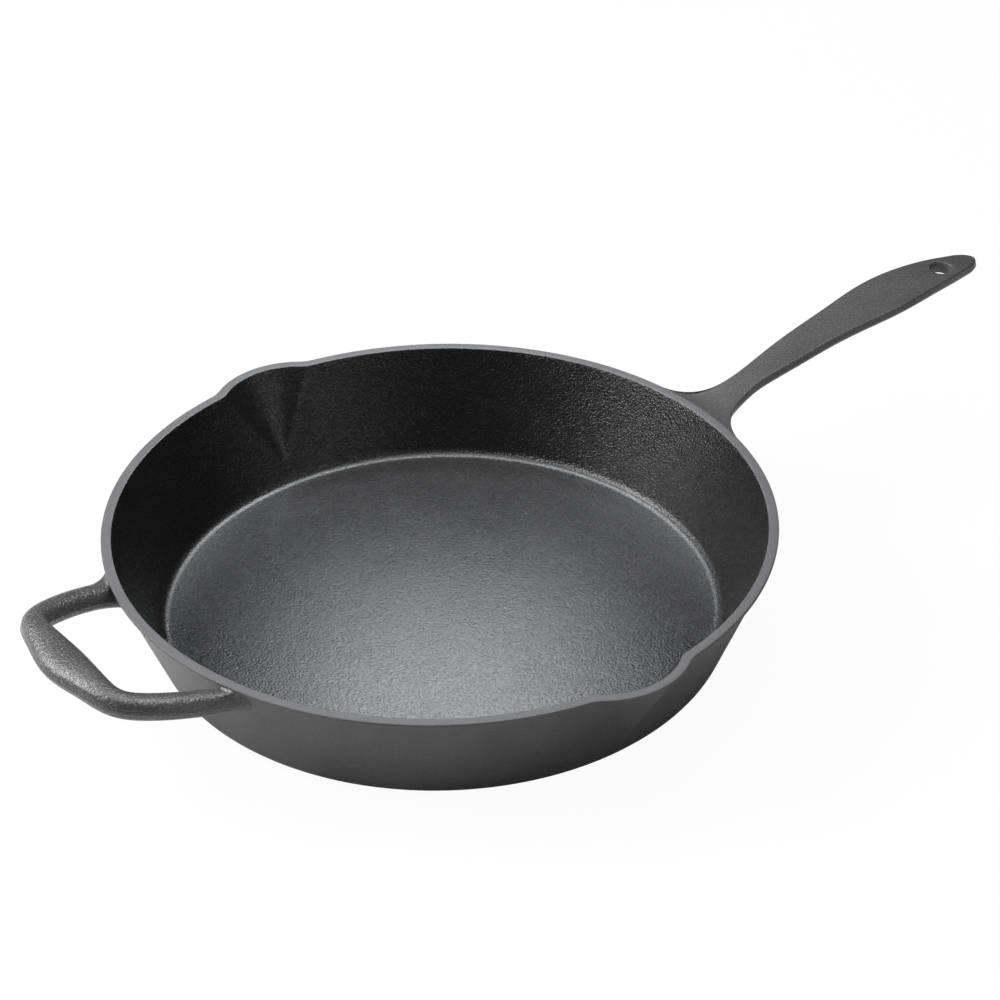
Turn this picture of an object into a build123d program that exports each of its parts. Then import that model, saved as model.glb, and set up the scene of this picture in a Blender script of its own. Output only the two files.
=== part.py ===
"""Cast iron skillet: a flared pan with two pour spouts, a long handle and a looped helper handle.

Millimetres. +X runs along the long handle, +Z is up, and the origin is the centre of the face that
the skillet rests on. Left and right are those of the cook who holds the long handle.
The casting is divided into its features, and each one is a solid that meets its neighbours face to face.
"""
from build123d import *
from math import acos, atan2, degrees, hypot, tan
import os

os.makedirs("parts", exist_ok=True)

# Pan
rim_radius = 165.0
pan_height = 59.4
base_radius = 140.4
base_corner = 8.6
floor_thickness = 6.5
wall_foot_width = 4.7
floor_fillet = 5.0

# Rim: a flat ground face whose thin outer edge stands proud of the wall
rim_width = 5.0
rim_overhang = 1.1
rim_edge = 1.6
rim_softening = 0.5

# Pour spouts: oblique cones that open towards the rim
spout_reach = 7.8
spout_lip_radius = 42.0
spout_start_height = 9.0
channel_start_height = 19.0
cone_sinking = 0.6
spout_margin = 0.5

# Long handle: lengths are measured outwards from the rim, and rises upwards from it
handle_length = 185.0
handle_thickness = 8.0
handle_rounding = 2.2
root_half_width = 34.0
root_thickness = 14.0
rim_half_width = 20.9
neck_length = 10.0
neck_half_width = 13.3
neck_rise = 1.6
waist_length = 27.0
waist_half_width = 8.4
waist_rise = 8.4
shaft_length = 60.0
shaft_half_width = 10.7
shaft_rise = 17.0
palm_length = 121.0
palm_half_width = 15.9
palm_rise = 27.3
eye_half_width = 11.4
eye_rise = 29.2
tip_half_width = 6.0
tip_rise = 28.4
handle_steps = 16

# Hanging hole
hole_radius = 6.0
hole_from_tip = 23.5
hole_softening = 0.8

# Helper handle: a bar that leaves the wall under the rim and loops round, half spacings across it
bar_radius = 6.0
bar_root_radius = 8.5
bar_root_drop = 11.5
leg_length = 9.0
leg_half_spacing = 50.0
leg_drop = 4.5
elbow_length = 38.0
elbow_half_spacing = 37.3
elbow_rise = 2.4
shoulder_half_spacing = 22.0
shoulder_half_depth = 8.2
grip_length = 44.2
grip_half_depth = 10.2
grip_half_height = 6.3
grip_rise = 4.0

# How far the roots of the handles reach into the pan before they are cut back to its outside
root_overlap = 20.0
headroom = 20.0

def outer_wall_radius(height):
    """Radius of the wall's outer face, a straight flare, at a height above the resting face."""
    return base_radius + (rim_radius - rim_overhang - base_radius) * height / pan_height


floor_radius = outer_wall_radius(floor_thickness) - wall_foot_width
rim_inner_radius = rim_radius - rim_width


def inner_wall_radius(height):
    """Radius of the wall's inner face, a straight flare, at a height above the resting face."""
    climb = (height - floor_thickness) / (pan_height - floor_thickness)
    return floor_radius + (rim_inner_radius - floor_radius) * climb


def corner(x, z):
    """The corner of a section in the XZ plane that lies at x, z."""
    return min(vertices(), key=lambda point: hypot(point.X - x, point.Z - z))


# Half section of the whole pan
edge_height = pan_height - rim_edge
edge_foot = edge_height - rim_overhang
with BuildSketch(Plane.XZ) as pan_section:
    with BuildLine():
        Polyline(
            (0, 0),
            (base_radius, 0),
            (outer_wall_radius(edge_foot), edge_foot),
            (rim_radius, edge_height),
            (rim_radius, pan_height),
            (rim_inner_radius, pan_height),
            (floor_radius, floor_thickness),
            (0, floor_thickness),
            close=True,
        )
    make_face()
    fillet(corner(base_radius, 0), base_corner)
    fillet(corner(floor_radius, floor_thickness), floor_fillet)
    fillet([corner(rim_radius, pan_height), corner(rim_inner_radius, pan_height)], rim_softening)

# Everything inside the pan's outer face and above its rim, which the handles are cut back to
with BuildSketch(Plane.XZ) as envelope_section:
    with BuildLine():
        Polyline(
            (0, 0),
            (base_radius, 0),
            (outer_wall_radius(edge_foot), edge_foot),
            (rim_radius, edge_height),
            (rim_radius, pan_height + headroom),
            (0, pan_height + headroom),
            close=True,
        )
    make_face()
with BuildPart() as pan_envelope:
    add(envelope_section.sketch)
    revolve(axis=Axis.Z)

# The hollow of the pan, from the floor to past the rim
with BuildSketch(Plane.XZ) as hollow_section:
    with BuildLine():
        Polyline(
            (0, floor_thickness),
            (floor_radius, floor_thickness),
            (inner_wall_radius(pan_height + headroom), pan_height + headroom),
            (0, pan_height + headroom),
            close=True,
        )
    make_face()
    fillet(corner(floor_radius, floor_thickness), floor_fillet)
with BuildPart() as pan_hollow:
    add(hollow_section.sketch)
    revolve(axis=Axis.Z)

# Cooking floor
with BuildPart() as pan_floor:
    add(pan_section.sketch)
    revolve(axis=Axis.Z)
    split(bisect_by=Plane.XY.offset(floor_thickness), keep=Keep.BOTTOM)

# Spout cones: each opens from a point in the wall to the lip's arc at the rim, leaning to reach it
lip_outer_radius = rim_radius + spout_reach


def spout_cone(start_height, start_radius, lip_radius, lip_rim_radius):
    """The cone on the +Y side from its point to past the rim, where its arc has the lip's radius."""
    rise = pan_height - start_height
    outer_lean = atan2(lip_rim_radius - start_radius, rise)
    inner_lean = atan2(lip_rim_radius - 2 * lip_radius - start_radius, rise)
    half_angle = (outer_lean - inner_lean) / 2
    lean = (outer_lean + inner_lean) / 2
    length = rise + headroom
    with BuildPart() as cone:
        with Locations(Location((0, start_radius, start_height), (-degrees(lean), 0, 0))):
            Cone(
                bottom_radius=0,
                top_radius=length * tan(half_angle),
                height=length,
                rotation=(0, 0, 90),
                align=(Align.CENTER, Align.CENTER, Align.MIN),
            )
    return cone.part


outer_cone = spout_cone(
    spout_start_height,
    outer_wall_radius(spout_start_height) - cone_sinking,
    spout_lip_radius,
    lip_outer_radius,
)
channel = spout_cone(
    channel_start_height,
    inner_wall_radius(channel_start_height) + cone_sinking,
    spout_lip_radius - rim_width,
    lip_outer_radius - rim_width,
)

# Pour spouts: a stretch of the wall, swollen by the cone outside and opened by the channel inside.
# The stretch ends just past the angles at which the lip's circle leaves the wall
lip_centre = lip_outer_radius - spout_lip_radius
crossing = (lip_centre**2 + rim_inner_radius**2 - spout_lip_radius**2) / (2 * lip_centre * rim_inner_radius)
spout_arc = 2 * (degrees(acos(crossing)) + spout_margin)
with BuildPart() as right_pour_spout:
    add(pan_section.sketch.rotate(Axis.Z, 90 - spout_arc / 2))
    revolve(axis=Axis.Z, revolution_arc=spout_arc)
    add(outer_cone)
    split(bisect_by=Plane.XY.offset(floor_thickness), keep=Keep.TOP)
    split(bisect_by=Plane.XY.offset(pan_height), keep=Keep.BOTTOM)
    add(pan_hollow.part, mode=Mode.SUBTRACT)
    add(channel, mode=Mode.SUBTRACT)

with BuildPart() as left_pour_spout:
    add(right_pour_spout.part)
    mirror(about=Plane.XZ, mode=Mode.REPLACE)

# Side walls: the two stretches of plain wall between the spouts
with BuildPart() as handle_side_wall:
    add(pan_section.sketch.rotate(Axis.Z, spout_arc / 2 - 90))
    revolve(axis=Axis.Z, revolution_arc=180 - spout_arc)
    split(bisect_by=Plane.XY.offset(floor_thickness), keep=Keep.TOP)

with BuildPart() as helper_side_wall:
    add(handle_side_wall.part)
    mirror(about=Plane.YZ, mode=Mode.REPLACE)


def section_plane(line, point):
    """The plane square to a line at one of its points, with its x direction level."""
    along = line % line.param_at_point(point)
    return Plane(origin=point, x_dir=Vector(0, 0, 1).cross(along), z_dir=along)


# Long handle: rounded sections along its upper edge, closed by half a turn of the last one
handle_tip = rim_radius + handle_length
hole_x = handle_tip - hole_from_tip
tip_centre = handle_tip - tip_half_width
upper_edge = Spline(
    (rim_radius - root_overlap, root_half_width, pan_height),
    (rim_radius, rim_half_width, pan_height),
    (rim_radius + neck_length, neck_half_width, pan_height + neck_rise),
    (rim_radius + waist_length, waist_half_width, pan_height + waist_rise),
    (rim_radius + shaft_length, shaft_half_width, pan_height + shaft_rise),
    (rim_radius + palm_length, palm_half_width, pan_height + palm_rise),
    (hole_x, eye_half_width, pan_height + eye_rise),
    (tip_centre, tip_half_width, pan_height + tip_rise),
)


def handle_section(step):
    """The plane, half width and thickness of the long handle's section at a step from the root."""
    edge = upper_edge @ (step / handle_steps)
    slope = upper_edge % (step / handle_steps)
    along = Vector(slope.X, 0, slope.Z).normalized()
    rooting = max(0, 1 - (edge.X - rim_radius + root_overlap) / (waist_length + root_overlap))
    thickness = handle_thickness + (root_thickness - handle_thickness) * rooting
    upright = along.cross(Vector(0, 1, 0))
    centre = Vector(edge.X, 0, edge.Z) - upright * (thickness / 2)
    return Plane(origin=centre, x_dir=(0, 1, 0), z_dir=along), edge.Y, thickness


with BuildPart() as long_handle:
    for step in range(handle_steps + 1):
        section, half_width, thickness = handle_section(step)
        with BuildSketch(section):
            RectangleRounded(2 * half_width, thickness, handle_rounding)
    loft()
    with BuildSketch(section):
        RectangleRounded(2 * half_width, thickness, handle_rounding)
        split(bisect_by=Plane.YZ, keep=Keep.BOTTOM)
    revolve(axis=Axis(section.origin, section.y_dir), revolution_arc=180)
    with Locations((hole_x, 0, pan_height)):
        Hole(hole_radius)
    hole_rims = edges(Select.LAST).filter_by(lambda edge: edge.is_closed)
    fillet(hole_rims, hole_softening)
    add(pan_envelope.part, mode=Mode.SUBTRACT)

# Helper handle: round legs and a flattened grip, lofted as far as the middle and mirrored
grip_x = -rim_radius - grip_length
bar_stations = [
    (-rim_radius + root_overlap, leg_half_spacing, -bar_root_drop, bar_root_radius, bar_root_radius),
    (-rim_radius - leg_length, leg_half_spacing, -leg_drop, bar_radius, bar_radius),
    (-rim_radius - elbow_length, elbow_half_spacing, elbow_rise, bar_radius, bar_radius),
    (grip_x, shoulder_half_spacing, grip_rise, shoulder_half_depth, grip_half_height),
    (grip_x, 0, grip_rise, grip_half_depth, grip_half_height),
]
bar_points = [(x, y, pan_height + rise) for x, y, rise, half_depth, half_height in bar_stations]
bar_line = Spline(*bar_points, tangents=((-1, 0, 0), (0, -1, 0)))

with BuildPart() as helper_handle:
    for point, (x, y, rise, half_depth, half_height) in zip(bar_points, bar_stations):
        with BuildSketch(section_plane(bar_line, point)):
            Ellipse(half_depth, half_height)
    loft()
    mirror(about=Plane.XZ)
    add(pan_envelope.part, mode=Mode.SUBTRACT)

pan_floor.part.label = "pan_floor"
handle_side_wall.part.label = "handle_side_wall"
helper_side_wall.part.label = "helper_side_wall"
left_pour_spout.part.label = "left_pour_spout"
right_pour_spout.part.label = "right_pour_spout"
long_handle.part.label = "long_handle"
helper_handle.part.label = "helper_handle"

export_step(pan_floor.part, "parts/pan_floor.step")
export_step(handle_side_wall.part, "parts/handle_side_wall.step")
export_step(helper_side_wall.part, "parts/helper_side_wall.step")
export_step(left_pour_spout.part, "parts/left_pour_spout.step")
export_step(right_pour_spout.part, "parts/right_pour_spout.step")
export_step(long_handle.part, "parts/long_handle.step")
export_step(helper_handle.part, "parts/helper_handle.step")
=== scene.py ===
import bpy
import bmesh
import math
import numpy as np
from mathutils import Matrix, Vector


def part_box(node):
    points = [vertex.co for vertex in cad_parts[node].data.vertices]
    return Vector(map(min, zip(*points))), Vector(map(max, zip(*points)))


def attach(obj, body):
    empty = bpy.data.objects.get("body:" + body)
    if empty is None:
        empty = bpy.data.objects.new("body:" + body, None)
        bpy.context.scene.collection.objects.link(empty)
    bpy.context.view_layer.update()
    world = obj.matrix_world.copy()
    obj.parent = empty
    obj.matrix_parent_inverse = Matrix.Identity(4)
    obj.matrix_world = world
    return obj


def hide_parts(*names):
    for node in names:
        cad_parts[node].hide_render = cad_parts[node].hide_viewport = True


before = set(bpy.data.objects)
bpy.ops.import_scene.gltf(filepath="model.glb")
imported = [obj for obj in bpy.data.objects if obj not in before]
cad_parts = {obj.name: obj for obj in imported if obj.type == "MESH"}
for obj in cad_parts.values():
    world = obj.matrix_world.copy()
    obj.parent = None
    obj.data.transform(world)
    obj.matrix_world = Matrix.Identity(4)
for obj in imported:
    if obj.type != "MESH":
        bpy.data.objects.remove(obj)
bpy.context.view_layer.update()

mm = 0.001

# Pan: the bowl of the skillet, sand cast in grey iron in one piece with its handles. The floor, the
# flared wall, the ground rim and the two pour spouts are one skin, seasoned black with baked oil,
# so they are one piece. Its section is turned about the upright axis and swollen at the spouts.
rim_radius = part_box("handle_side_wall")[1].x
pan_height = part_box("handle_side_wall")[1].z
floor_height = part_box("pan_floor")[1].z
lip_radius_at_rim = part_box("right_pour_spout")[1].y
base_radius = 140.4 * mm
base_corner = 8.6 * mm
floor_radius = 138.4 * mm
floor_fillet = 5.5 * mm
rim_width = 5.0 * mm
rim_overhang = 1.1 * mm
rim_edge = 1.5 * mm
rim_softening = 0.5 * mm
rim_inner_softening = 0.6 * mm
rim_edge_softening = 0.35 * mm
overhang_softening = 0.9 * mm
rim_inner_radius = rim_radius - rim_width
wall_top_radius = rim_radius - rim_overhang
edge_height = pan_height - rim_edge
overhang_height = edge_height - rim_overhang
spout_radius = 42.0 * mm
spout_start = 9.0 * mm
channel_start = 17.0 * mm
outer_blend = 3.2 * mm
inner_blend = 1.4 * mm
unevenness = 0.22 * mm
wave_scale = 38.0
wave_detail = 2.0
upright_share_of_wave = 0.6
axis_fade = 50.0
turning_steps = 720
base_step = 12.0 * mm
wall_step = 1.9 * mm
rim_edge_step = 1.0 * mm
rim_face_step = 1.4 * mm
floor_step = 6.0 * mm
floor_smoothness = 0.55
outer_smoothness = 0.35
rim_smoothness = 0.88
floor_band = 1.0 * mm
base_band = 0.5 * mm
rim_band = 2.0 * mm
same_point = 1e-6


def outer_wall(height):
    """Radius of the wall's outer face, without the rim's thin edge, at a height."""
    return base_radius + (wall_top_radius - base_radius) * height / pan_height


def rounded_outline(corners):
    """Points along a line of (radius, height, rounding, arc steps, longest step) corners."""
    line = [np.array(corners[0][:2])]
    for i in range(1, len(corners)):
        corner = np.array(corners[i][:2])
        rounding, arc_steps, longest_step = corners[i][2:]
        pieces = [corner]
        if rounding > 0:
            back = np.array(corners[i - 1][:2]) - corner
            ahead = np.array(corners[i + 1][:2]) - corner
            back = back / np.linalg.norm(back)
            ahead = ahead / np.linalg.norm(ahead)
            half = math.acos(np.clip(np.dot(back, ahead), -1, 1)) / 2
            middle = (back + ahead) / np.linalg.norm(back + ahead)
            centre = corner + middle * rounding / math.sin(half)
            start = corner + back * rounding / math.tan(half) - centre
            end = corner + ahead * rounding / math.tan(half) - centre
            sweep = math.pi - 2 * half
            pieces = [
                centre + (start * math.sin(sweep * (1 - t)) + end * math.sin(sweep * t)) / math.sin(sweep)
                for t in np.linspace(0, 1, arc_steps + 1)
            ]
        run = np.linalg.norm(pieces[0] - line[-1])
        count = max(1, math.ceil(run / longest_step))
        start = line[-1]
        line += [start + (pieces[0] - start) * k / count for k in range(1, count + 1)]
        line += pieces[1:]
    return np.array(line)


section = rounded_outline([
    (0, 0, 0, 0, 0),
    (base_radius, 0, base_corner, 8, base_step),
    (outer_wall(overhang_height), overhang_height, overhang_softening, 4, wall_step),
    (rim_radius, edge_height, rim_edge_softening, 3, rim_edge_step),
    (rim_radius, pan_height, rim_softening, 4, rim_edge_step),
    (rim_inner_radius, pan_height, rim_inner_softening, 4, rim_face_step),
    (floor_radius, floor_height, floor_fillet, 8, wall_step),
    (0, floor_height, 0, 0, floor_step),
])
on_rim_face = section[:, 1] > pan_height - same_point / 10
top_row = int(np.argmax(on_rim_face))
last_top_row = len(section) - 1 - int(np.argmax(on_rim_face[::-1]))
outer_share = np.clip((section[:, 0] - rim_inner_radius) / rim_width, 0, 1)
outer_share[:top_row] = 1
outer_share[last_top_row + 1 :] = 0
ground = np.zeros(len(section))
ground[top_row - 1 : last_top_row + 2] = 1
cooking = np.zeros(len(section))
cooking[last_top_row + 1 :] = 1
on_floor = (cooking > 0) & (section[:, 1] < floor_height + floor_band)
smooth = np.where(cooking > 0, np.where(on_floor, floor_smoothness, 0.0), outer_smoothness)
smooth[ground > 0] = rim_smoothness
on_base = section[:, 1] < base_band
below_rim = section[:, 1] < edge_height - rim_band
uneven = np.where(on_base, 0, 1) * below_rim

section_mesh = bpy.data.meshes.new("pan_section")
section_mesh.from_pydata(
    [(r, 0, z) for r, z in section], [(i, i + 1) for i in range(len(section) - 1)], []
)
section_values = {
    "outer": outer_share,
    "ground": ground,
    "cooking": cooking,
    "smooth": smooth,
    "uneven": uneven,
}
for name, values in section_values.items():
    section_mesh.attributes.new(name, "FLOAT", "POINT").data.foreach_set("value", values.astype(np.float32))
section_object = bpy.data.objects.new("pan_section", section_mesh)
bpy.context.scene.collection.objects.link(section_object)


def add_node(tree, kind, *sources, **settings):
    """A new node; each source is linked to, or set on, the input in its place, and None leaves it."""
    made = tree.nodes.new(kind)
    for name, value in settings.items():
        setattr(made, name, value)
    enabled = [socket for socket in made.inputs if socket.enabled]
    for socket, source in zip(enabled, sources):
        if isinstance(source, bpy.types.NodeSocket):
            tree.links.new(source, socket)
        elif source is not None:
            socket.default_value = source
    return made


def result(made):
    """The first output in use."""
    return next(socket for socket in made.outputs if socket.enabled)


def seasoned_iron(name, tone, painted_glint_grey, grain, roughness, sand):
    """Black seasoned cast iron: tone is a grey, and the second grey is painted highlight, the brightest of
    the flecks added to the colour as painted glints off the sand grains; grain is the height of the sand's
    texture in metres, and sand is how fine that texture is."""
    pebble_scale = sand * 0.8
    glint_fleck_scale = sand * 1.1
    mottle_scale = 45
    sand_range = (0.3, 0.7)
    glint_fleck_range = (0.56, 0.74)
    tone_range = (0.3, 0.7)
    gloss_range = (0.25, 0.75)
    sand_height = 0.65
    pebble_height = -0.5
    mottle_contrast = 0.15
    rim_lift = 0.035
    cooking_darkness = 0.84
    coldness = 1.04
    mottle_gloss = 0.02
    grain_gloss = 0.08
    cooking_gloss = -0.23
    rim_dullness = 0.12
    material = bpy.data.materials.new(name)
    material.use_nodes = True
    tree = material.node_tree
    shader = tree.nodes["Principled BSDF"]
    place = add_node(tree, "ShaderNodeTexCoord").outputs["Object"]

    def noise(scale, detail, rough):
        made = add_node(tree, "ShaderNodeTexNoise", place)
        made.inputs["Scale"].default_value = scale
        made.inputs["Detail"].default_value = detail
        made.inputs["Roughness"].default_value = rough
        return made.outputs["Fac"]

    def maths(operation, *sources):
        return result(add_node(tree, "ShaderNodeMath", *sources, operation=operation))

    def spread(value, low, high, to_low, to_high):
        return result(add_node(tree, "ShaderNodeMapRange", value, low, high, to_low, to_high))

    def share(attribute):
        return add_node(tree, "ShaderNodeAttribute", attribute_name=attribute).outputs["Fac"]

    sand_grain = noise(scale=sand, detail=3, rough=0.6)
    cells = add_node(tree, "ShaderNodeTexVoronoi", place, feature="SMOOTH_F1")
    cells.inputs["Scale"].default_value = pebble_scale
    cells.inputs["Smoothness"].default_value = 0.6
    pebble = cells.outputs["Distance"]
    mottle = noise(scale=mottle_scale, detail=5, rough=0.6)
    # Noise that places the painted glints: bright flecks of colour that stand in for the sparkle of the
    # sand grains
    glint_fleck_noise = noise(scale=glint_fleck_scale, detail=1, rough=0.5)
    relief = maths(
        "ADD", maths("MULTIPLY", sand_grain, sand_height), maths("MULTIPLY", pebble, pebble_height)
    )
    ground_share = share("ground")
    cooking_share = share("cooking")
    calm = maths("SUBTRACT", 1.0, share("smooth"))
    bump = add_node(tree, "ShaderNodeBump")
    bump.inputs["Distance"].default_value = grain
    tree.links.new(calm, bump.inputs["Strength"])
    tree.links.new(relief, bump.inputs["Height"])
    tree.links.new(bump.outputs["Normal"], shader.inputs["Normal"])

    dark = spread(mottle, *tone_range, tone * (1 - mottle_contrast), tone * (1 + mottle_contrast))
    # Painted highlight: where that noise runs high, bright flecks are added to the grey as painted glints
    painted_glint_flecks = spread(glint_fleck_noise, *glint_fleck_range, 0.0, painted_glint_grey)
    rim_tone = maths("MULTIPLY", ground_share, rim_lift)
    inner_tone = maths("SUBTRACT", 1.0, maths("MULTIPLY", cooking_share, cooking_darkness))
    grey = maths("ADD", maths("MULTIPLY", maths("ADD", dark, painted_glint_flecks), inner_tone), rim_tone)
    colour = add_node(tree, "ShaderNodeCombineColor", grey, grey, maths("MULTIPLY", grey, coldness))
    tree.links.new(colour.outputs["Color"], shader.inputs["Base Color"])
    satin = spread(mottle, *gloss_range, roughness - mottle_gloss, roughness + mottle_gloss)
    satin = maths("ADD", satin, maths("MULTIPLY", cooking_share, cooking_gloss))
    satin = maths("ADD", satin, maths("MULTIPLY", ground_share, rim_dullness))
    satin = maths("ADD", satin, spread(sand_grain, *sand_range, -grain_gloss, grain_gloss))
    tree.links.new(satin, shader.inputs["Roughness"])
    return material


pan_iron = seasoned_iron(
    "seasoned_pan_iron", tone=0.048, painted_glint_grey=0.03, grain=0.42 * mm, roughness=0.48, sand=1150
)

turning = bpy.data.node_groups.new("turned_pan", "GeometryNodeTree")
turning.interface.new_socket("Geometry", in_out="INPUT", socket_type="NodeSocketGeometry")
pan_sizes = {
    "Steps": turning_steps,
    "Height": pan_height,
    "Base radius": base_radius,
    "Rim radius": rim_radius,
    "Rim inner radius": rim_inner_radius,
    "Floor height": floor_height,
    "Floor radius": floor_radius,
    "Spout radius": spout_radius,
    "Spout reach": lip_radius_at_rim,
    "Spout start": spout_start,
    "Channel start": channel_start,
    "Outer blend": outer_blend,
    "Inner blend": inner_blend,
    "Unevenness": unevenness,
}
for label, value in pan_sizes.items():
    kind = "NodeSocketInt" if isinstance(value, int) else "NodeSocketFloat"
    turning.interface.new_socket(label, in_out="INPUT", socket_type=kind)
turning.interface.new_socket("Geometry", in_out="OUTPUT", socket_type="NodeSocketGeometry")
given = turning.nodes.new("NodeGroupInput").outputs


def sums(operation, *sources):
    return result(add_node(turning, "ShaderNodeMath", *sources, operation=operation))


def blend_of(share, low, high):
    """low where the share is 0 and high where it is 1."""
    return sums("ADD", low, sums("MULTIPLY", share, sums("SUBTRACT", high, low)))


# A grid has one column for each turning step and one row for each point of the section
rows = add_node(turning, "GeometryNodeAttributeDomainSize", given["Geometry"], component="MESH").outputs[0]
columns = sums("ADD", given["Steps"], 1.0)
sheet = add_node(turning, "GeometryNodeMeshGrid", 1.0, 1.0, columns, rows).outputs["Mesh"]
number = add_node(turning, "GeometryNodeInputIndex").outputs[0]
row = sums("FLOORED_MODULO", number, rows)
column = sums("FLOOR", sums("DIVIDE", sums("ADD", number, 0.5), rows))
angle = sums("MULTIPLY", sums("DIVIDE", column, given["Steps"]), 2 * math.pi)
section_place = add_node(turning, "GeometryNodeInputPosition").outputs[0]


def from_section(value, data_type):
    """The section's value at this row."""
    return result(
        add_node(turning, "GeometryNodeSampleIndex", given["Geometry"], value, row, data_type=data_type)
    )


def section_share(name):
    """One of the section's own attributes at this row."""
    held = add_node(turning, "GeometryNodeInputNamedAttribute", name, data_type="FLOAT")
    return from_section(result(held), "FLOAT")


point = add_node(turning, "ShaderNodeSeparateXYZ", from_section(section_place, "FLOAT_VECTOR")).outputs
radius = point["X"]
height = point["Z"]
across = sums("COSINE", angle)
towards = sums("ABSOLUTE", sums("SINE", angle))


def swelling(start, start_radius, lip_radius, lip_reach, wall, blend):
    """How far a cone that opens from its start in the wall to the lip pushes the wall outwards."""
    climb = sums("DIVIDE", sums("SUBTRACT", height, start), sums("SUBTRACT", given["Height"], start))
    opening = sums("MAXIMUM", climb, 0.0)
    cone_radius = sums("MULTIPLY", lip_radius, opening)
    centre = blend_of(opening, start_radius, sums("SUBTRACT", lip_reach, lip_radius))
    beside = sums("MULTIPLY", centre, across)
    within = sums("SUBTRACT", sums("MULTIPLY", cone_radius, cone_radius), sums("MULTIPLY", beside, beside))
    reach = sums("ADD", sums("MULTIPLY", centre, towards), sums("SQRT", sums("MAXIMUM", within, 0.0)))
    soft = sums("ADD", sums("MULTIPLY", blend, opening), same_point)
    pushed = sums("SUBTRACT", sums("SMOOTH_MAX", reach, wall, soft), wall)
    return sums("MULTIPLY", pushed, sums("GREATER_THAN", climb, 0.0))


def flare_radius(at, low, low_height, high):
    """Radius, at a height, of a straight flare that runs from low at its low height to high at the rim."""
    rise = sums("SUBTRACT", given["Height"], low_height)
    return blend_of(sums("DIVIDE", sums("SUBTRACT", at, low_height), rise), low, high)


outside = (given["Base radius"], 0.0, given["Rim radius"])
inside = (given["Floor radius"], given["Floor height"], given["Rim inner radius"])
rim_depth = sums("SUBTRACT", given["Rim radius"], given["Rim inner radius"])
outer_push = swelling(
    given["Spout start"],
    flare_radius(given["Spout start"], *outside),
    given["Spout radius"],
    given["Spout reach"],
    flare_radius(height, *outside),
    given["Outer blend"],
)
inner_push = swelling(
    given["Channel start"],
    flare_radius(given["Channel start"], *inside),
    sums("SUBTRACT", given["Spout radius"], rim_depth),
    sums("SUBTRACT", given["Spout reach"], rim_depth),
    flare_radius(height, *inside),
    given["Inner blend"],
)
push = blend_of(section_share("outer"), inner_push, outer_push)
turned_radius = sums("ADD", radius, push)


def turned_point(at_radius, at_height):
    """The point at this column's angle."""
    return add_node(
        turning,
        "ShaderNodeCombineXYZ",
        sums("MULTIPLY", at_radius, across),
        sums("MULTIPLY", at_radius, sums("SINE", angle)),
        at_height,
    ).outputs[0]


# The long, faint waves of a sand casting, which fade out at the axis, the resting face and the rim
waves = add_node(turning, "ShaderNodeTexNoise", turned_point(turned_radius, height))
waves.inputs["Scale"].default_value = wave_scale
waves.inputs["Detail"].default_value = wave_detail
wave = sums("MULTIPLY", sums("SUBTRACT", waves.outputs["Fac"], 0.5), given["Unevenness"])
wave = sums("MULTIPLY", wave, section_share("uneven"))
wave_out = sums("MULTIPLY", wave, sums("MINIMUM", sums("MULTIPLY", radius, axis_fade), 1.0))
turned = turned_point(
    sums("ADD", turned_radius, wave_out),
    sums("ADD", height, sums("MULTIPLY", wave, upright_share_of_wave)),
)
skin = sheet
for label in ("ground", "cooking", "smooth"):
    held = section_share(label)
    skin = add_node(
        turning, "GeometryNodeStoreNamedAttribute", skin, None, label, held, data_type="FLOAT"
    ).outputs[0]
skin = add_node(turning, "GeometryNodeSetPosition", skin, None, turned).outputs[0]
skin = add_node(turning, "GeometryNodeMergeByDistance", skin, None, same_point).outputs[0]
skin = add_node(turning, "GeometryNodeSetShadeSmooth", skin, None, True).outputs[0]
skin = add_node(turning, "GeometryNodeRealizeInstances", skin).outputs[0]
skin = add_node(turning, "GeometryNodeSetMaterial", skin, None, pan_iron).outputs[0]
turning.links.new(skin, turning.nodes.new("NodeGroupOutput").inputs[0])

modifier = section_object.modifiers.new("turned_pan", "NODES")
modifier.node_group = turning
for socket in turning.interface.items_tree:
    if socket.in_out == "INPUT" and socket.name in pan_sizes:
        modifier[socket.identifier] = pan_sizes[socket.name]


def plain_mesh(carrier, name):
    """The mesh that a carrier's modifier makes, as an object of its own; the carrier goes."""
    bpy.context.view_layer.update()
    evaluated = carrier.evaluated_get(bpy.context.evaluated_depsgraph_get())
    mesh = bpy.data.meshes.new_from_object(evaluated)
    mesh.name = name
    bpy.data.objects.remove(carrier)
    piece = bpy.data.objects.new(name, mesh)
    bpy.context.scene.collection.objects.link(piece)
    return piece


def faced_outwards(piece):
    """Merges doubles and turns the faces of a closed mesh outwards."""
    work = bmesh.new()
    work.from_mesh(piece.data)
    bmesh.ops.remove_doubles(work, verts=work.verts, dist=same_point)
    bmesh.ops.dissolve_degenerate(work, edges=work.edges, dist=same_point / 10)
    bmesh.ops.recalc_face_normals(work, faces=work.faces)
    if work.calc_volume(signed=True) < 0:
        bmesh.ops.reverse_faces(work, faces=work.faces)
    work.to_mesh(piece.data)
    work.free()
    return piece


pan = faced_outwards(plain_mesh(section_object, "pan_casting"))
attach(pan, "root")
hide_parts("pan_floor", "handle_side_wall", "helper_side_wall", "left_pour_spout", "right_pour_spout")

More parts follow.
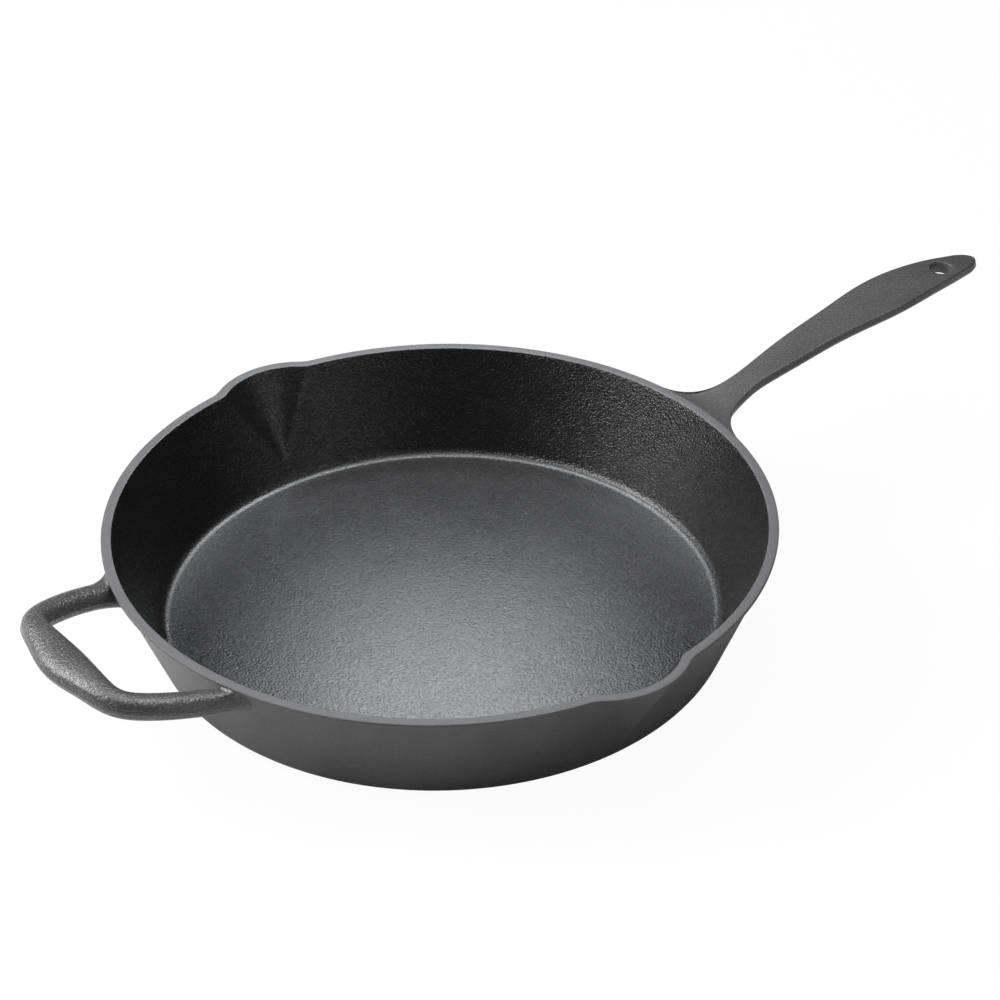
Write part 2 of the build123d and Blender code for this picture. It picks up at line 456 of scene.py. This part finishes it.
# Long handle: a swept-up bar with a flat, barely dished face on top and a rounded underside, which
# meet at the moulds' parting line. It grows out of the rim and wall with wide cast fillets, thins to
# a waist, widens to the palm and ends in a narrow tip with a drilled hanging hole.
handle_iron = seasoned_iron(
    "seasoned_handle_iron", tone=0.06, painted_glint_grey=0.04, grain=0.24 * mm, roughness=0.42, sand=1050
)
tip_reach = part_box("long_handle")[1].x
handle_stations = np.array([
    # outwards from the rim, half width, rise above the rim
    (17.0, 10.0, 4.4),
    (25.0, 8.4, 7.7),
    (38.0, 8.7, 11.7),
    (54.0, 10.4, 15.7),
    (72.0, 11.6, 19.7),
    (93.0, 13.4, 23.4),
    (114.0, 15.7, 26.4),
    (132.0, 15.5, 28.3),
    (148.0, 13.6, 29.1),
    (162.0, 11.2, 28.9),
    (175.0, 8.2, 28.2),
    (186.0, 6.2, 27.6),
]) * mm
waist = 25.0 * mm
tip_length = 10.0 * mm
tip_start = tip_reach - rim_radius - tip_length
tip_undercut = 0.45
handle_depth = 8.0 * mm
tip_depth = 5.6 * mm
thinning_start = 110.0 * mm
thinning_power = 6
parting_depth = 3.2 * mm
edge_rounding = 0.9 * mm
edge_draft = 0.5 * mm
under_inset = 0.25 * mm
dish_depth = 0.5 * mm
dish_width = 12.0 * mm
least_reach = 1.0 * mm
top_columns = 24
under_columns = 30
side_columns = 3
edge_columns = 4
shaft_rows = 122
tip_rows = 14


def smooth_line(knots, values, at):
    """A natural cubic spline through the values at the knots."""
    count = len(knots)
    gaps = np.diff(knots)
    matrix = np.eye(count)
    right = np.zeros((count,) + values.shape[1:])
    slopes = (np.diff(values, axis=0).T / gaps).T
    for i in range(1, count - 1):
        matrix[i, i - 1 : i + 2] = gaps[i - 1], 2 * (gaps[i - 1] + gaps[i]), gaps[i]
        right[i] = 6 * (slopes[i] - slopes[i - 1])
    bends = np.linalg.solve(matrix, right)
    i = np.clip(np.searchsorted(knots, at) - 1, 0, count - 2)
    gap = gaps[i]
    a = (knots[i + 1] - at) / gap
    b = (at - knots[i]) / gap
    if values.ndim > 1:
        a, b, gap = a[:, None], b[:, None], gap[:, None]
    return (
        a * values[i] + b * values[i + 1]
        + ((a**3 - a) * bends[i] + (b**3 - b) * bends[i + 1]) * gap**2 / 6
    )


def handle_rise(x):
    """Height of the handle's upper edge at a distance from the pan's axis."""
    x = np.atleast_1d(x)
    return pan_height + smooth_line(handle_stations[:, 0], handle_stations[:, 2], x - rim_radius)


def handle_half_width(x):
    """Half the handle's width at a distance from the pan's axis."""
    x = np.atleast_1d(x)
    return smooth_line(handle_stations[:, 0], handle_stations[:, 1], x - rim_radius)


def handle_thickness(x):
    """The handle's thickness, which holds past the hole and thins at the tip."""
    thinning_length = tip_start + tip_length - thinning_start
    towards_tip = np.clip((x - rim_radius - thinning_start) / thinning_length, 0, 1)
    return handle_depth + (tip_depth - handle_depth) * towards_tip**thinning_power


def top_height(x, y):
    """Height of the dished top face."""
    reach = np.maximum(handle_half_width(x) - edge_rounding - edge_draft, least_reach)
    share_across = np.clip(np.abs(y) / reach, 0, 1)
    depth = dish_depth * np.clip(reach / dish_width, 0, 1)
    return handle_rise(x) - depth * (1 - share_across**2)


def under_height(x, y):
    """Height of the rounded underside."""
    share_across = np.clip(np.abs(y) / np.maximum(handle_half_width(x) - under_inset, least_reach), 0, 1)
    deep = (handle_thickness(x) - parting_depth) * np.sqrt(1 - share_across**2)
    return handle_rise(x) - parting_depth - deep


# Each column runs along the handle: (kind, share across, inset from the outline, depth). The depth of
# an underside column is a share of the depth below the parting line
columns_round = []
for k in range(top_columns + 1):
    columns_round.append(("top", -1 + 2 * k / top_columns, edge_rounding + edge_draft, 0.0))
for side in (1, -1):
    flank = []
    for k in range(1, edge_columns + 1):
        around = math.pi / 2 * k / edge_columns
        inset = edge_draft + edge_rounding * (1 - math.sin(around))
        flank.append(("side", side, inset, edge_rounding * (1 - math.cos(around))))
    for k in range(1, side_columns + 1):
        down = k / side_columns
        inset = edge_draft * (1 - down)
        flank.append(("side", side, inset, edge_rounding + (parting_depth - edge_rounding) * down))
    if side == 1:
        columns_round += flank
        for k in range(1, under_columns):
            around = math.pi * k / under_columns
            columns_round.append(("under", math.cos(around), under_inset, math.sin(around)))
    else:
        columns_round += flank[::-1]

steps_out = [waist + (tip_start - waist) * k / shaft_rows for k in range(shaft_rows + 1)]
shaft = []
for number_out in range(shaft_rows + tip_rows + 1):
    ring = []
    for kind, across_share, inset, deep in columns_round:
        if number_out <= shaft_rows:
            x = rim_radius + steps_out[number_out]
            cap = 1.0
        else:
            around = math.pi / 2 * (number_out - shaft_rows) / tip_rows
            length = tip_length - inset
            if kind == "under":
                length *= 1 - tip_undercut * deep**2
            x = rim_radius + tip_start + length * math.sin(around)
            cap = math.cos(around)
        outline = float(handle_half_width(x)[0])
        rise = float(handle_rise(x)[0])
        y = across_share * (outline - inset) * cap
        if kind == "top":
            dish = dish_depth * min(1, (outline - inset) / dish_width) * cap
            z = rise - dish * (1 - across_share**2)
        elif kind == "side":
            z = rise - deep
        else:
            z = rise - parting_depth - deep * (float(handle_thickness(x)) - parting_depth)
        ring.append((x, y, z))
    shaft.append(ring)
shaft = np.array(shaft)


def wall_face(at_height):
    """Radius of the outer face with the rim's edge, which roots are set into."""
    heights = [0, overhang_height, edge_height, pan_height]
    return np.interp(at_height, heights, [base_radius, outer_wall(overhang_height), rim_radius, rim_radius])


def hermite(start, start_way, end, end_way, rows_between):
    """Rows of points that leave start along one direction and arrive at end along another."""
    t = np.linspace(0, 1, rows_between + 1)[:-1, None, None]
    return (
        (2 * t**3 - 3 * t**2 + 1) * start
        + (t**3 - 2 * t**2 + t) * start_way
        + (3 * t**2 - 2 * t**3) * end
        + (t**3 - t**2) * end_way
    )


# The root: its foot lies along the rim and wall, just under the skin, and flows into the shaft
root_half_width = 33.0 * mm
root_depth = 19.0 * mm
root_rows = 44
root_flattening = 0.8
root_end_depth = 2.0 * mm
below_rim_face = 0.15 * mm
behind_rim_edge = 1.2 * mm
sunk = 0.3 * mm
top_pull = 30.0 * mm
top_pull_power = 2.5
side_pull = 62.0 * mm
flank_pull = 3.0 * mm
under_pull = 6.0 * mm
climb_pull = 24.0 * mm
shaft_pull = 40.0 * mm
root_angle = math.asin(root_half_width / rim_radius)
wall_slope = (wall_top_radius - base_radius) / pan_height
foot = []
foot_way = []
foot_in = []
for kind, across_share, inset, deep in columns_round:
    turn_angle = across_share * root_angle
    side_sign = math.copysign(1, across_share)
    if kind == "top":
        z = pan_height - below_rim_face
        r = rim_radius - behind_rim_edge
        aside = abs(across_share) ** top_pull_power
        pulls = (top_pull * (1 - aside), side_pull * aside, 0.0)
    elif kind == "side":
        z = pan_height - below_rim_face - deep * root_flattening
        r = wall_face(z) - sunk
        pulls = (flank_pull, side_pull, 0.0)
    else:
        below_parting = (root_depth - parting_depth) * deep
        z = pan_height - below_rim_face - parting_depth * root_flattening - below_parting
        r = wall_face(z) - sunk
        aside = abs(across_share)
        pulls = (flank_pull + under_pull * (1 - aside), side_pull * aside, climb_pull * (1 - aside))
    out = np.array((math.cos(turn_angle), math.sin(turn_angle), 0))
    sideways = np.array((math.sin(turn_angle), -math.cos(turn_angle), 0)) * side_sign
    up = np.array((out[0] * wall_slope, out[1] * wall_slope, 1.0))
    foot.append(out * r + np.array((0, 0, z)))
    foot_in.append(out * (r - root_end_depth) + np.array((0, 0, z)))
    foot_way.append(out * pulls[0] + sideways * pulls[1] + up * pulls[2])
slope_step = (shaft[1] - shaft[0]) / np.linalg.norm(shaft[1] - shaft[0], axis=1)[:, None]
root = hermite(np.array(foot), np.array(foot_way), shaft[0], slope_step * shaft_pull, root_rows)
handle_rings = np.concatenate([np.array(foot_in)[None], root, shaft])


def ring_mesh(rings, left_out=()):
    """Points and faces of closed rings in a row; left_out are the (ring, column) cells without a face."""
    count = rings.shape[1]
    points = [tuple(p) for ring in rings for p in ring]
    faces = []
    for i in range(len(rings) - 1):
        for j in range(count):
            if (i, j) in left_out:
                continue
            after = (j + 1) % count
            faces.append((i * count + j, i * count + after, (i + 1) * count + after, (i + 1) * count + j))
    return points, faces


def finished_piece(name, points, faces, material):
    """A smooth, closed mesh piece of one material."""
    mesh = bpy.data.meshes.new(name)
    mesh.from_pydata(points, [], faces)
    mesh.materials.append(material)
    piece = bpy.data.objects.new(name, mesh)
    bpy.context.scene.collection.objects.link(piece)
    faced_outwards(piece)
    piece.data.polygons.foreach_set("use_smooth", [True] * len(piece.data.polygons))
    return piece


# The hanging hole: rings take the place of a block of cells on the top face and of one on the underside
hole_from_tip = 23.5 * mm
hole_centre = tip_reach - hole_from_tip
hole_radius = 6.0 * mm
hole_softening = 1.0 * mm
hole_edge_steps = 4
block_half_length = 8.6 * mm
block_columns = 18
blend_parts = (0.35, 0.7)
shaft_start = 1 + root_rows
row_places = np.array([rim_radius + s for s in steps_out])
first = int(np.argmin(np.abs(row_places - (hole_centre - block_half_length))))
last = int(np.argmin(np.abs(row_places - (hole_centre + block_half_length))))
top_first = (top_columns - block_columns) // 2
top_last = top_first + block_columns
under_first = top_columns + edge_columns + side_columns + (under_columns - block_columns) // 2
under_last = under_first + block_columns
left_out = {(shaft_start + i, j) for i in range(first, last) for j in range(top_first, top_last)}
left_out |= {(shaft_start + i, j) for i in range(first, last) for j in range(under_first, under_last)}
points, faces = ring_mesh(handle_rings, left_out)
handle_columns = handle_rings.shape[1]


def block_edge(near_column, far_column):
    """The block's outline as point numbers, once round, from one of its outer columns to the other."""
    step = 1 if far_column > near_column else -1
    outwards = [(i, near_column) for i in range(first, last)]
    across_far = [(last, j) for j in range(near_column, far_column, step)]
    inwards = [(i, far_column) for i in range(last, first, -1)]
    across_near = [(first, j) for j in range(far_column, near_column, -step)]
    once_round = outwards + across_far + inwards + across_near
    return [(shaft_start + i) * handle_columns + j for i, j in once_round]


top_edge = block_edge(top_first, top_last)
under_edge = block_edge(under_last, under_first)
top_ring = np.array([points[i] for i in top_edge])
under_ring = np.array([points[i] for i in under_edge])
angles = np.arctan2(top_ring[:, 1], top_ring[:, 0] - hole_centre)
ways = np.stack([np.cos(angles), np.sin(angles)], axis=1)


def round_ring(ring_radius, drop, surface):
    """A ring about the hole at a radius and at a drop from a surface."""
    x = hole_centre + ways[:, 0] * ring_radius
    y = ways[:, 1] * ring_radius
    return np.stack([x, y, surface(x, y) + drop], axis=1)


def ring_between(edge_ring, part, surface):
    """A ring on a surface, part of the way from a block's outline to the hole's softened edge."""
    x = edge_ring[:, 0] * (1 - part) + (hole_centre + ways[:, 0] * outer_hole) * part
    y = edge_ring[:, 1] * (1 - part) + ways[:, 1] * outer_hole * part
    return np.stack([x, y, surface(x, y)], axis=1)


outer_hole = hole_radius + hole_softening
softened_edge = []
for k in range(hole_edge_steps + 1):
    around = math.pi / 2 * k / hole_edge_steps
    ring_size = outer_hole - hole_softening * math.sin(around)
    softened_edge.append((ring_size, hole_softening * (1 - math.cos(around))))
hole_rings = [ring_between(top_ring, part, top_height) for part in blend_parts]
hole_rings += [round_ring(size, -drop, top_height) for size, drop in softened_edge]
hole_rings += [round_ring(size, drop, under_height) for size, drop in reversed(softened_edge)]
hole_rings += [ring_between(under_ring, part, under_height) for part in reversed(blend_parts)]


def band(one, other):
    """Faces between two rings of point numbers."""
    return [(one[i - 1], one[i], other[i], other[i - 1]) for i in range(len(one))]


previous = top_edge
for ring in hole_rings:
    current = list(range(len(points), len(points) + len(ring)))
    points += [tuple(p) for p in ring]
    faces += band(previous, current)
    previous = current
faces += band(previous, under_edge)

# The root's end inside the wall is closed by a fan
fan_drop = 7.0 * mm
fan_depth = 2.3 * mm
fan_height = pan_height - fan_drop
points.append((wall_face(fan_height) - fan_depth, 0, fan_height))
faces += [(len(points) - 1, j, (j + 1) % handle_columns) for j in range(handle_columns)]
long_handle = finished_piece("long_handle_casting", points, faces, handle_iron)
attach(long_handle, "root")
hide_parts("long_handle")

# Helper handle: a looped bar opposite the long handle for the second hand, cast with the pan. Its two
# round legs spring from flared pads under the rim and swell into a wide, flattened grip.
helper_iron = seasoned_iron(
    "seasoned_helper_iron", tone=0.034, painted_glint_grey=0.06, grain=0.5 * mm, roughness=0.36, sand=850
)
helper_stations = np.array([
    # x, y, rise from the rim, half depth, half height
    (-155.0, 52.0, -9.0, 6.0, 6.0),
    (-174.0, 50.0, -4.5, 6.0, 6.0),
    (-190.0, 46.0, -0.9, 6.2, 6.0),
    (-203.2, 38.2, 2.2, 6.3, 6.1),
    (-207.6, 22.0, 3.8, 8.0, 6.3),
    (-209.2, 0.0, 4.0, 10.4, 6.3),
]) * mm
leg_start = 11.0 * mm
bar_rows = 170
bar_columns = 48
bar_squareness = 2.25
ridge_height = 0.35 * mm
ridge_spread = 0.13
pad_half_width = 11.0 * mm
pad_rise = 10.5 * mm
pad_fall = 9.5 * mm
pad_rows = 16
pad_end_depth = 2.2 * mm
pad_inward_pull = 8.0 * mm
pad_outward_pull = 3.0 * mm
leg_pull = 11.0 * mm
below_rim_top = 0.4 * mm
look_ahead = 0.05 * mm
search_step = 0.2 * mm
mirrored = helper_stations[-2::-1] * (1, -1, 1, 1, 1)
loop_line = np.concatenate([helper_stations, mirrored])
lengths = np.concatenate([[0], np.cumsum(np.linalg.norm(np.diff(loop_line[:, :3], axis=0), axis=1))])
places = np.linspace(lengths[0] + leg_start, lengths[-1] - leg_start, bar_rows)
bar = smooth_line(lengths, loop_line, places)
bar_ahead = smooth_line(lengths, loop_line, places + look_ahead)
bar_rings = []
bar_ways = []
for here, ahead in zip(bar, bar_ahead):
    along = (ahead - here)[:3]
    along /= np.linalg.norm(along)
    aside = np.cross(along, (0, 0, 1))
    aside /= np.linalg.norm(aside)
    above = np.cross(aside, along)
    centre = here[:3] + np.array((0, 0, pan_height))
    ring = []
    for k in range(bar_columns):
        around = 2 * math.pi * k / bar_columns
        cosine = math.cos(around)
        sine = math.sin(around)
        ridge = ridge_height * math.exp(-((sine / ridge_spread) ** 2))
        square = (abs(cosine) ** bar_squareness + abs(sine) ** bar_squareness) ** (-1 / bar_squareness)
        offset = aside * (here[3] * square + ridge) * cosine + above * here[4] * square * sine
        ring.append(centre + offset)
    bar_rings.append(ring)
    bar_ways.append(along)
bar_rings = np.array(bar_rings)


def leg_root(ring, along):
    """The pad from which a leg springs: rows from inside the wall to the leg's first ring, and the point
    that closes them."""
    centre = ring.mean(axis=0)
    step = -along if np.dot(along, centre * (1, 1, 0)) > 0 else along
    step = step / np.linalg.norm(step)
    hit = centre.copy()
    while math.hypot(hit[0], hit[1]) > wall_face(hit[2]):
        hit = hit + step * search_step
    radial = np.array((hit[0], hit[1], 0)) / math.hypot(hit[0], hit[1])
    sideways = np.cross((0, 0, 1), radial)
    start = []
    start_in = []
    way = []
    for p in ring:
        offset = p - centre
        offset = offset - step * np.dot(offset, step)
        size = np.linalg.norm(offset)
        side_part = np.dot(offset, sideways) / size
        up_part = offset[2] / size
        z = hit[2] + up_part * (pad_rise if up_part > 0 else pad_fall)
        z = min(z, pan_height - below_rim_top)
        turn_angle = math.atan2(hit[1], hit[0]) + side_part * pad_half_width / rim_radius
        out = np.array((math.cos(turn_angle), math.sin(turn_angle), 0))
        start.append(out * (wall_face(z) - sunk) + np.array((0, 0, z)))
        start_in.append(out * (wall_face(z) - pad_end_depth) + np.array((0, 0, z)))
        inward = -(sideways * side_part + np.array((0, 0, up_part)))
        way.append(inward * pad_inward_pull + radial * pad_outward_pull)
    leg_way = np.tile(-step * leg_pull, (len(ring), 1))
    pad = hermite(np.array(start), np.array(way), ring, leg_way, pad_rows)
    closing = radial * (math.hypot(hit[0], hit[1]) - pad_end_depth) + np.array((0, 0, hit[2]))
    return np.concatenate([np.array(start_in)[None], pad]), closing


first_root, first_closing = leg_root(bar_rings[0], bar_ways[0])
last_root, last_closing = leg_root(bar_rings[-1], bar_ways[-1])
helper_rings = np.concatenate([first_root, bar_rings, last_root[::-1]])
points, faces = ring_mesh(helper_rings)
points += [tuple(first_closing), tuple(last_closing)]
final_row = (len(helper_rings) - 1) * bar_columns
faces += [(len(points) - 2, j, (j + 1) % bar_columns) for j in range(bar_columns)]
faces += [(len(points) - 1, final_row + j, final_row + (j + 1) % bar_columns) for j in range(bar_columns)]
helper = finished_piece("helper_handle_casting", points, faces, helper_iron)
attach(helper, "root")
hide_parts("helper_handle")

# Studio: a plain pale floor under a white surround. A broad light hangs overhead, one stands on the left
# and a weak one in front on the right. The key light hangs low behind the pan, for its cooking floor
# alone, and two more light the grip and the near leg of the helper handle alone.
floor_half_width = 6.0
floor_drop = 0.3 * mm
paper_tone = (0.85, 0.85, 0.85, 1)
paper_roughness = 0.9
paper_lift = 0.95
white = (1, 1, 1, 1)
surround_strength = 0.03
corners = [(-1, -1), (1, -1), (1, 1), (-1, 1)]
floor_mesh = bpy.data.meshes.new("studio_floor")
floor_mesh.from_pydata(
    [(x * floor_half_width, y * floor_half_width, -floor_drop) for x, y in corners], [], [(0, 1, 2, 3)]
)
studio_floor = bpy.data.objects.new("studio_floor", floor_mesh)
bpy.context.scene.collection.objects.link(studio_floor)
paper = bpy.data.materials.new("pale_paper")
paper.use_nodes = True
paper_tree = paper.node_tree
paper_shader = paper_tree.nodes["Principled BSDF"]
paper_shader.inputs["Base Color"].default_value = paper_tone
paper_shader.inputs["Roughness"].default_value = paper_roughness
glow = add_node(paper_tree, "ShaderNodeEmission", white, 1.0)
direct = add_node(paper_tree, "ShaderNodeLightPath").outputs["Is Camera Ray"]
lift = result(add_node(paper_tree, "ShaderNodeMath", direct, paper_lift, operation="MULTIPLY"))
lifted = add_node(paper_tree, "ShaderNodeMixShader", lift, paper_shader.outputs[0], glow.outputs[0])
paper_tree.links.new(lifted.outputs[0], paper_tree.nodes["Material Output"].inputs["Surface"])
floor_mesh.materials.append(paper)

surround = bpy.data.worlds.new("surround")
bpy.context.scene.world = surround
surround.use_nodes = True
sky = surround.node_tree
sky_light = sky.nodes["Background"]
sky_light.inputs["Color"].default_value = white
sky_light.inputs["Strength"].default_value = surround_strength
seen = add_node(sky, "ShaderNodeBackground", white, 1.0)
straight = add_node(sky, "ShaderNodeLightPath").outputs["Is Camera Ray"]
choice = add_node(sky, "ShaderNodeMixShader", straight, sky_light.outputs[0], seen.outputs[0])
sky.links.new(choice.outputs[0], sky.nodes["World Output"].inputs["Surface"])


def way_back(azimuth, elevation):
    """The direction that lies at an azimuth, with 0 on the -Y side and 90 on the +X side."""
    a = math.radians(azimuth)
    e = math.radians(elevation)
    return Vector((math.sin(a) * math.cos(e), -math.cos(a) * math.cos(e), math.sin(e)))


def soft_light(name, azimuth, elevation, distance, width, depth, power, spot):
    """An area light that faces a spot."""
    lamp = bpy.data.lights.new(name, "AREA")
    lamp.shape = "RECTANGLE"
    lamp.size = width
    lamp.size_y = depth
    lamp.energy = power
    made = bpy.data.objects.new(name, lamp)
    back = way_back(azimuth, elevation)
    made.location = Vector(spot) + back * distance
    made.visible_camera = False
    made.rotation_mode = "QUATERNION"
    made.rotation_quaternion = (-back).to_track_quat("-Z", "Y")
    bpy.context.scene.collection.objects.link(made)
    return made


def light_only(lamps, piece):
    """Keeps lamps to one piece."""
    lit = bpy.data.collections.new("lit_" + piece.name)
    lit.objects.link(piece)
    for lamp in lamps:
        lamp.light_linking.receiver_collection = lit


view_azimuth = -34.2
view_elevation = 34.1
view_distance = 1.577
aim_sideways = 1.07
aim_upwards = 0.29
view_roll = -0.68
lens_length = 116.3
sensor_width = 36.0
key_tint = (0.93, 0.965, 1.0)
in_pan = (-0.068, -0.100, 0.006)
on_helper = (-0.19, 0, 0.05)
key_light = soft_light(
    "key_light", view_azimuth + 180, 37.5, distance=0.5, width=0.19, depth=0.13, power=0.88, spot=in_pan
)
key_light.data.color = key_tint
light_only([key_light], pan)
soft_light("left_light", -130, 36, distance=1.5, width=0.9, depth=0.6, power=33, spot=(0, 0, 0))
soft_light("overhead_light", 165, 80, distance=2.2, width=2.2, depth=2.2, power=39, spot=(0, 0, 0))
soft_light("right_light", 16, 27, distance=1.4, width=0.4, depth=0.25, power=2.8, spot=(0, 0, 0.05))
leg_light = soft_light(
    "leg_light", 75, 62, distance=1.2, width=0.5, depth=0.5, power=11, spot=on_helper
)
grip_light = soft_light(
    "grip_light", -170, 52, distance=1.2, width=0.5, depth=0.4, power=4.5, spot=on_helper
)
light_only([leg_light, grip_light], helper)

back = way_back(view_azimuth, view_elevation)
forward = -back
right = forward.cross(Vector((0, 0, 1))).normalized()
upward = right.cross(forward)
sideways_part = right * math.tan(math.radians(aim_sideways))
upwards_part = upward * math.tan(math.radians(aim_upwards))
aim = (forward + sideways_part + upwards_part).normalized()
level = aim.cross(Vector((0, 0, 1))).normalized()
head = level.cross(aim)
roll = math.radians(view_roll)
camera_x = level * math.cos(roll) + head * math.sin(roll)
camera_y = head * math.cos(roll) - level * math.sin(roll)
camera_turn = Matrix((camera_x, camera_y, -aim)).transposed().to_4x4()
camera_data = bpy.data.cameras.new("camera")
camera_data.lens = lens_length
camera_data.sensor_width = sensor_width
camera = bpy.data.objects.new("camera", camera_data)
camera.matrix_world = Matrix.Translation(Vector((0, 0, pan_height)) + back * view_distance) @ camera_turn
bpy.context.scene.collection.objects.link(camera)
bpy.context.scene.camera = camera
bpy.context.scene.view_settings.view_transform = "Standard"
